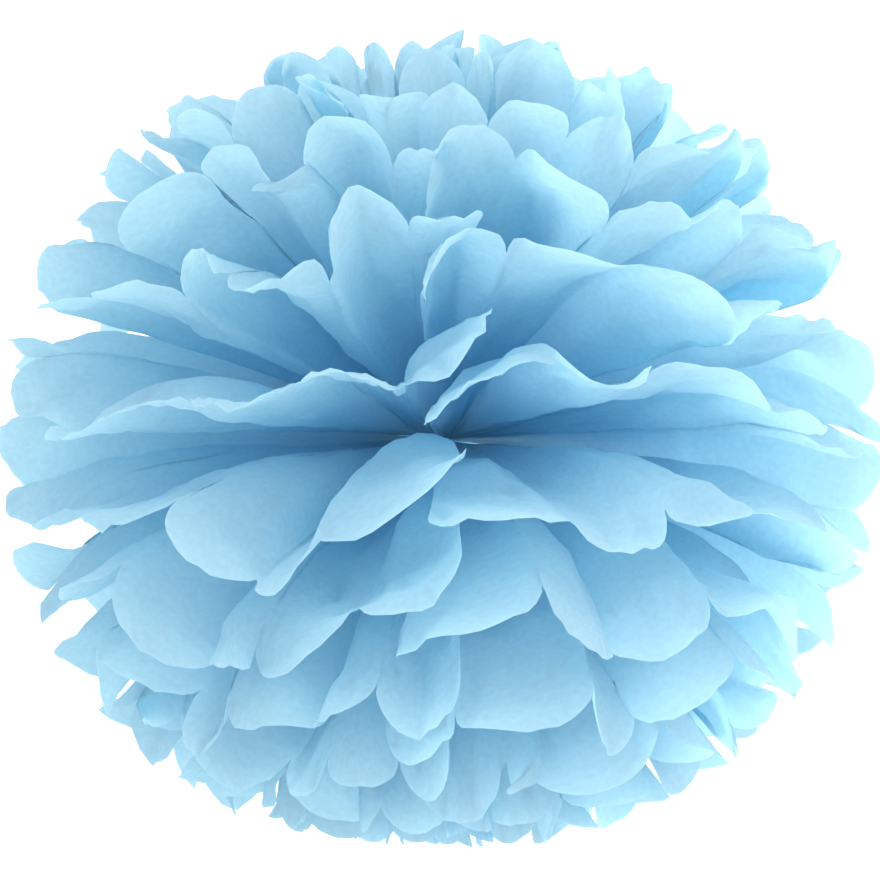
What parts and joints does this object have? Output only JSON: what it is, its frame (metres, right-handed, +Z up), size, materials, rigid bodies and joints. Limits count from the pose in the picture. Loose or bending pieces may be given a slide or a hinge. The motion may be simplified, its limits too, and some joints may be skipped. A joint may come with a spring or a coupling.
{
  "type": "tissue paper pom pom",
  "caption": "Round hanging party pom pom of pleated tissue sheets with scalloped ends, tied at the middle with wire and fluffed out into a ball of petals.",
  "frame": {"origin": "the tied centre of the ball, the middle of the paper bundle inside the wire tie", "axes": "+X along the tied strip from one half of the sheets to the other, +Y towards the back, +Z up, the way the upper sheets are lifted"},
  "size_m": [0.3025, 0.3055, 0.2716],
  "materials": {
    "tissue": "matt translucent pale blue tissue",
    "wire": "plain galvanised wire"
  },
  "bodies": {
    "root": {"tissue_sheet_01": "tissue", "tissue_sheet_02": "tissue", "tissue_sheet_03": "tissue", "tissue_sheet_04": "tissue", "tissue_sheet_05": "tissue", "tissue_sheet_06": "tissue", "tissue_sheet_07": "tissue", "tissue_sheet_08": "tissue", "tissue_sheet_09": "tissue", "tissue_sheet_10": "tissue", "tissue_sheet_11": "tissue", "tissue_sheet_12": "tissue", "wire_tie": "wire"}
  },
  "joints": []
}
